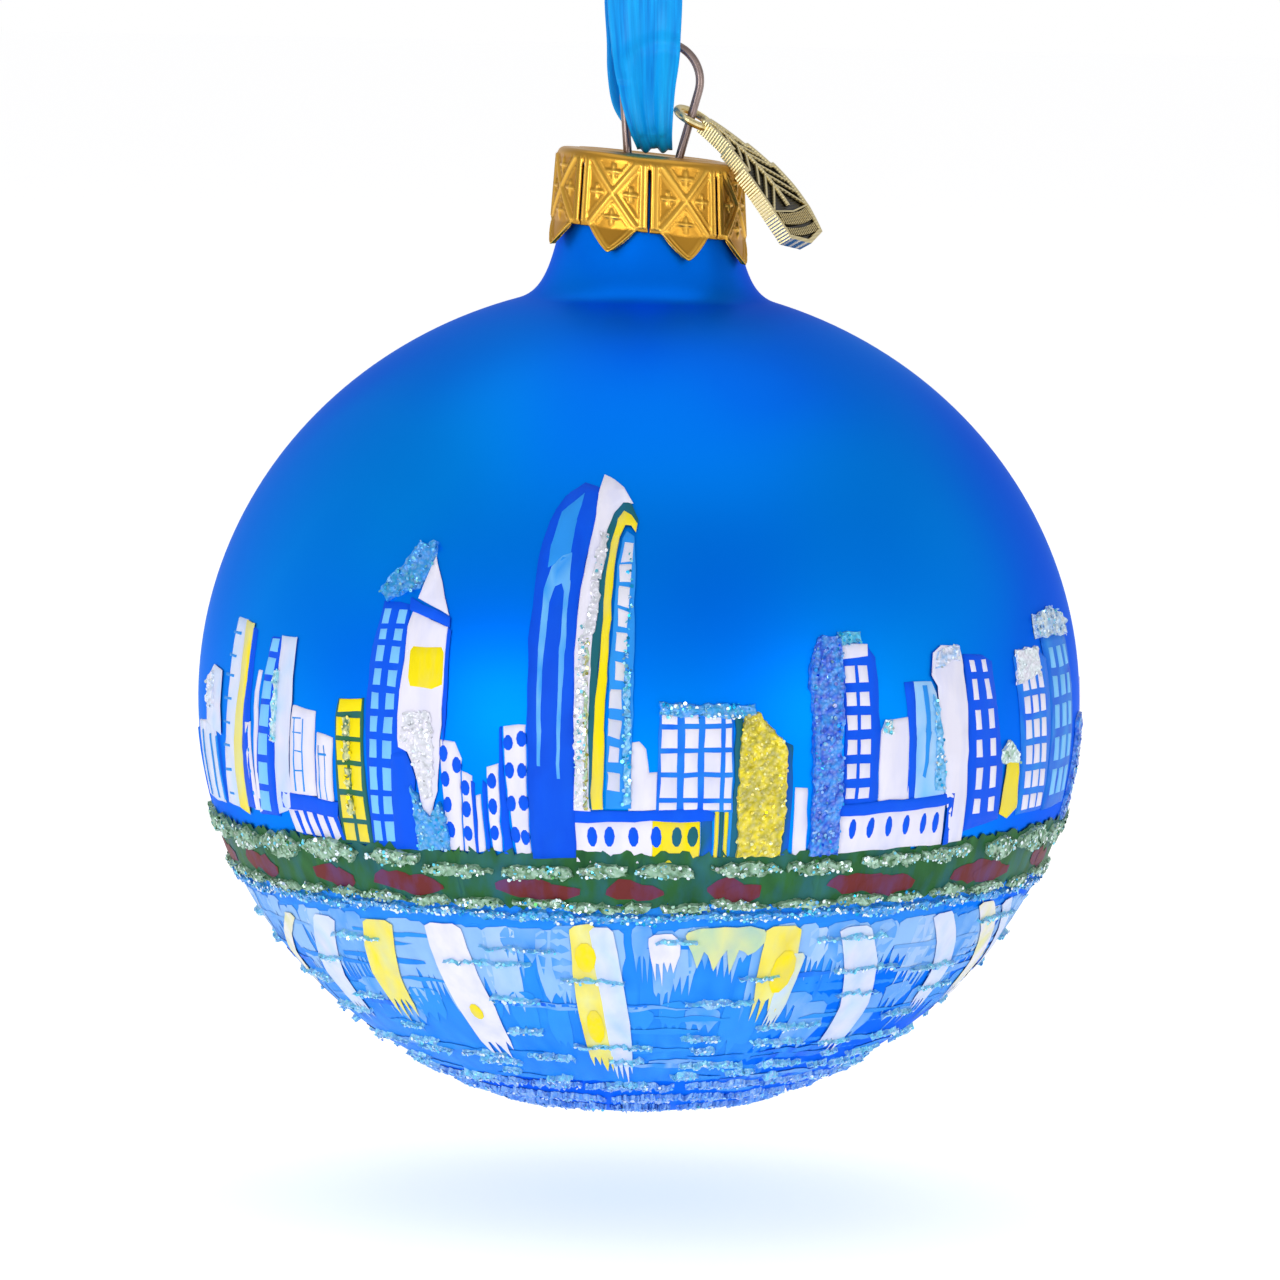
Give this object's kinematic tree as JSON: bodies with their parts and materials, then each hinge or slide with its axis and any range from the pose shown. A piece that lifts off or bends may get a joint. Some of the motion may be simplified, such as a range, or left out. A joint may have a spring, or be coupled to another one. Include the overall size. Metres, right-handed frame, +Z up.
{
  "type": "glass ball ornament",
  "caption": "Hand-painted blown-glass ball ornament with a raised skyline, stamped cap, wire hanger, cast charm and a satin ribbon loop.",
  "frame": {"origin": "the hanging point, inside the top of the ribbon loop under its knot", "axes": "+Z up through the neck, +X to the side where the charm hangs, -Y the front with the tallest painted tower"},
  "size_m": [0.0835, 0.0836, 0.1777],
  "materials": {
    "lacquered_glass": "satin blue lacquer over silvered blown glass",
    "gold_cap": "stamped thin sheet with a gold lacquer",
    "spring_wire": "drawn, lightly browned",
    "antique_brass": "cast, blackened in the recesses",
    "satin_ribbon": "satin weave, turquoise blue",
    "building_paint": "raised acrylic paint with glitter",
    "shore_paint": "dabbed acrylic paint with glitter",
    "water_paint": "brushed acrylic paint with glitter"
  },
  "bodies": {
    "knot": {"ribbon_knot": "satin_ribbon"},
    "ribbon": {"ribbon_loop": "satin_ribbon"},
    "cap_and_hanger": {"ornament_cap": "gold_cap", "hanger_wire": "spring_wire"},
    "globe": {"glass_globe": "lacquered_glass", "skyline_relief": "building_paint", "shoreline_relief": "shore_paint", "water_relief": "water_paint"},
    "charm": {"pendant_charm": "antique_brass"}
  },
  "joints": [
    {"name": "ribbon_twist", "type": "hinge", "parent": "knot", "child": "ribbon", "pos_m": [0, 0, 0], "axis": [0, 0, 1], "range_deg": [-180, 180]},
    {"name": "ornament_swing", "type": "hinge", "parent": "ribbon", "child": "cap_and_hanger", "pos_m": [0.00123, 0, -0.05805], "axis": [1, 0, 0], "range_deg": [-12, 12]},
    {"name": "globe_pull", "type": "slide", "parent": "cap_and_hanger", "child": "globe", "axis": [0, 0, -1], "range_m": [0, 0.025]},
    {"name": "charm_swing", "type": "hinge", "parent": "cap_and_hanger", "child": "charm", "pos_m": [0.00377, 0, -0.0649], "axis": [-0.3746, -0.9272, 0], "range_deg": [0, 60]}
  ]
}
